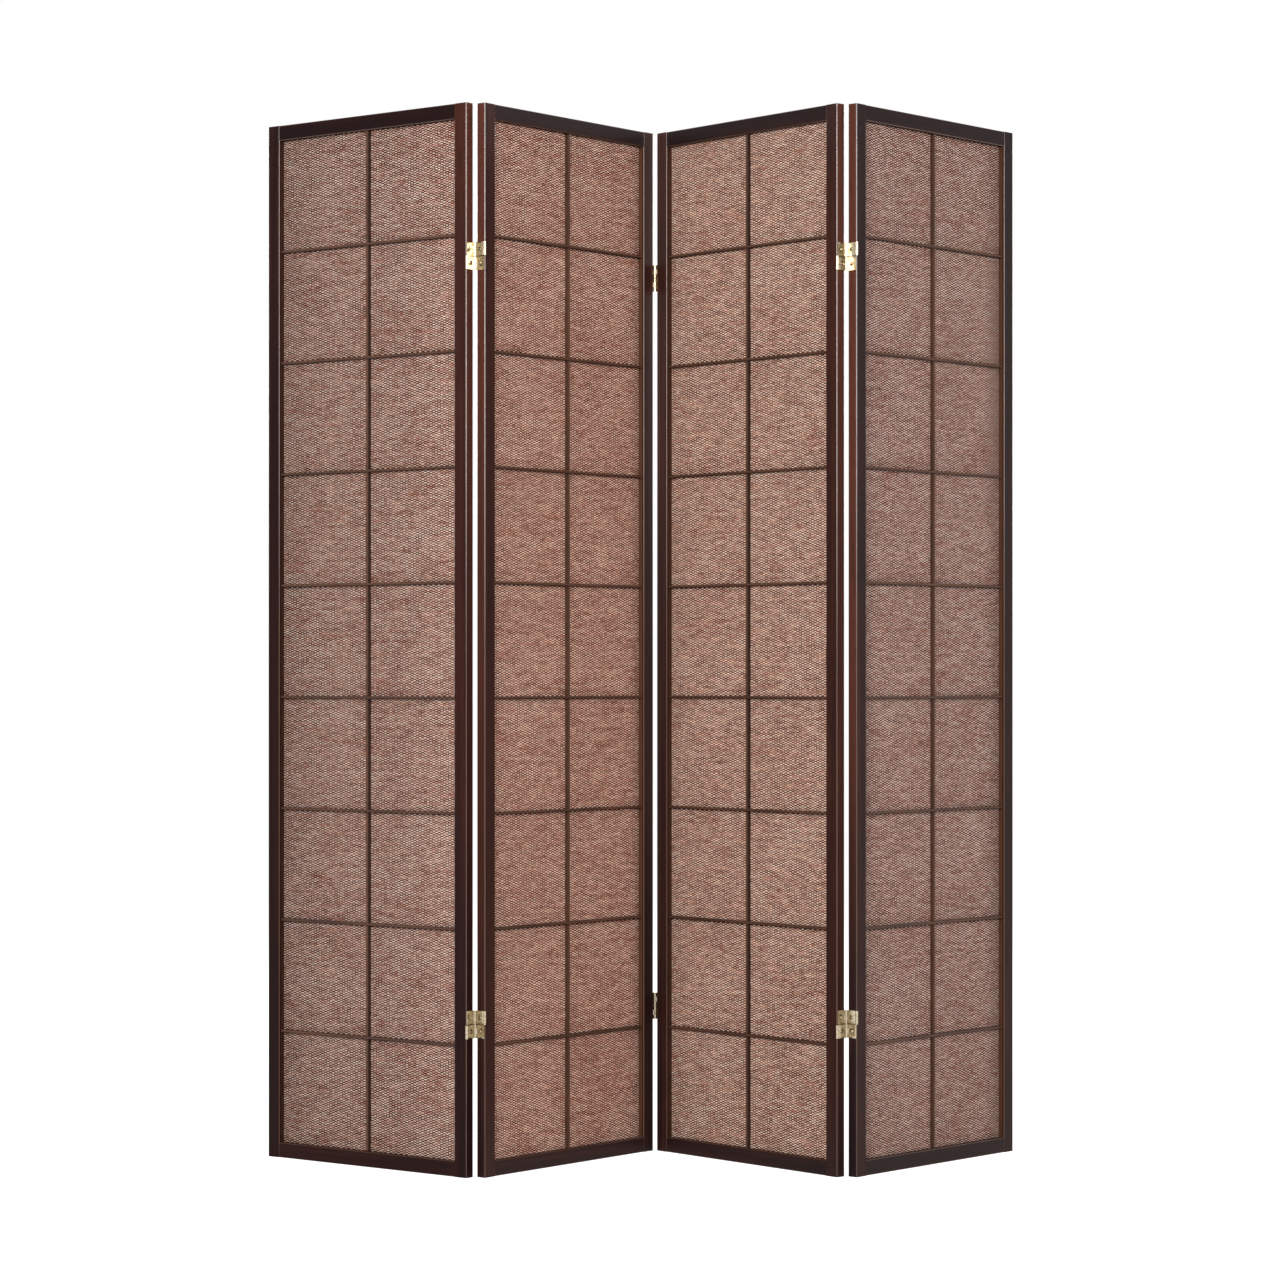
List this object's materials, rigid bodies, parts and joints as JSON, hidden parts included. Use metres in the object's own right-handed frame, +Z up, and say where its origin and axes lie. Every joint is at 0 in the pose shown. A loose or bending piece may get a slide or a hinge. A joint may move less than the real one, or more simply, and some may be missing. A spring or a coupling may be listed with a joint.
{
  "type": "folding room screen",
  "caption": "Free-standing folding screen: dark wood frames with a thin slat lattice over woven fibre sheets, joined by double-acting brass hinges.",
  "frame": {"origin": "middle of the standing screen's footprint, on the floor", "axes": "+Z up; +X to the right along the screen seen from its front; the lattice side faces -Y"},
  "size_m": [1.2988, 0.3676, 1.785],
  "materials": {
    "frame_wood": "dark stained, satin lacquer",
    "slat_wood": "brown stained, satin",
    "dowel_wood": "bare",
    "woven_sheet": "woven plant fibre, mottled",
    "hinge_brass": "polished",
    "hinge_screws": "polished"
  },
  "bodies": {
    "panel_1": {"panel_1_left_stile": "frame_wood", "panel_1_right_stile": "frame_wood", "panel_1_bottom_rail": "frame_wood", "panel_1_top_rail": "frame_wood", "panel_1_woven_sheet": "woven_sheet", "panel_1_frame_dowels": "dowel_wood", "panel_1_centre_slat": "slat_wood", "panel_1_cross_slats": "slat_wood", "panel_1_retaining_beads": "frame_wood", "hinge_12_left_leaves": "hinge_brass", "hinge_12_left_pins": "hinge_brass", "hinge_12_left_screws": "hinge_screws", "hinge_12_lower_links": "hinge_brass"},
    "panel_2": {"panel_2_left_stile": "frame_wood", "panel_2_right_stile": "frame_wood", "panel_2_bottom_rail": "frame_wood", "panel_2_top_rail": "frame_wood", "panel_2_woven_sheet": "woven_sheet", "panel_2_frame_dowels": "dowel_wood", "panel_2_centre_slat": "slat_wood", "panel_2_cross_slats": "slat_wood", "panel_2_retaining_beads": "frame_wood", "hinge_12_right_leaves": "hinge_brass", "hinge_12_right_pins": "hinge_brass", "hinge_12_right_screws": "hinge_screws", "hinge_12_upper_links": "hinge_brass", "hinge_23_left_leaves": "hinge_brass", "hinge_23_left_pins": "hinge_brass", "hinge_23_left_screws": "hinge_screws", "hinge_23_upper_links": "hinge_brass"},
    "panel_3": {"panel_3_left_stile": "frame_wood", "panel_3_right_stile": "frame_wood", "panel_3_bottom_rail": "frame_wood", "panel_3_top_rail": "frame_wood", "panel_3_woven_sheet": "woven_sheet", "panel_3_frame_dowels": "dowel_wood", "panel_3_centre_slat": "slat_wood", "panel_3_cross_slats": "slat_wood", "panel_3_retaining_beads": "frame_wood", "hinge_23_right_leaves": "hinge_brass", "hinge_23_right_pins": "hinge_brass", "hinge_23_right_screws": "hinge_screws", "hinge_23_lower_links": "hinge_brass", "hinge_34_left_leaves": "hinge_brass", "hinge_34_left_pins": "hinge_brass", "hinge_34_left_screws": "hinge_screws", "hinge_34_lower_links": "hinge_brass"},
    "panel_4": {"panel_4_left_stile": "frame_wood", "panel_4_right_stile": "frame_wood", "panel_4_bottom_rail": "frame_wood", "panel_4_top_rail": "frame_wood", "panel_4_woven_sheet": "woven_sheet", "panel_4_frame_dowels": "dowel_wood", "panel_4_centre_slat": "slat_wood", "panel_4_cross_slats": "slat_wood", "panel_4_retaining_beads": "frame_wood", "hinge_34_right_leaves": "hinge_brass", "hinge_34_right_pins": "hinge_brass", "hinge_34_right_screws": "hinge_screws", "hinge_34_upper_links": "hinge_brass"}
  },
  "joints": [
    {"name": "fold_12", "type": "hinge", "parent": "panel_2", "child": "panel_1", "pos_m": [-0.28303, -0.16423, 0], "axis": [0, 0, 1], "range_deg": [-92.4, 87.6]},
    {"name": "fold_23", "type": "hinge", "parent": "panel_2", "child": "panel_3", "pos_m": [0.0222, 0.16714, 0], "axis": [0, 0, 1], "range_deg": [-79.9, 98.9]},
    {"name": "fold_34", "type": "hinge", "parent": "panel_3", "child": "panel_4", "pos_m": [0.33486, -0.15722, 0], "axis": [0, 0, 1], "range_deg": [-96.6, 83.4]}
  ]
}
